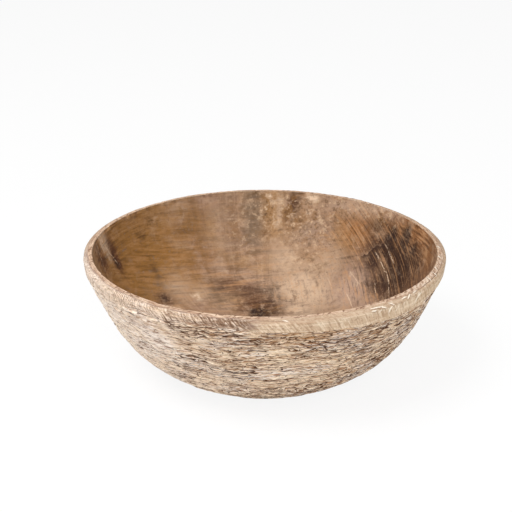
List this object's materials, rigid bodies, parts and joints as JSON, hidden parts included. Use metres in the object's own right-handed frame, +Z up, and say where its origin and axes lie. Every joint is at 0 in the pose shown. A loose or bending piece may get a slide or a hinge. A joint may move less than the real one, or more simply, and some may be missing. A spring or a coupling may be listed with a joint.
{
  "type": "horn bowl",
  "caption": "Shallow round bowl of one piece of horn: flat foot, smooth turned inside, rough ridged outside and a rasped pale band below the rim.",
  "frame": {"origin": "centre of the flat foot, on the surface that the bowl stands on", "axes": "+Z up along the bowl's turning axis; -Y is the side that the picture shows at the front, +X its right"},
  "size_m": [0.18, 0.18, 0.0635],
  "materials": {
    "horn": "satin inside, rough outside"
  },
  "bodies": {
    "root": {"bowl": "horn"}
  },
  "joints": []
}
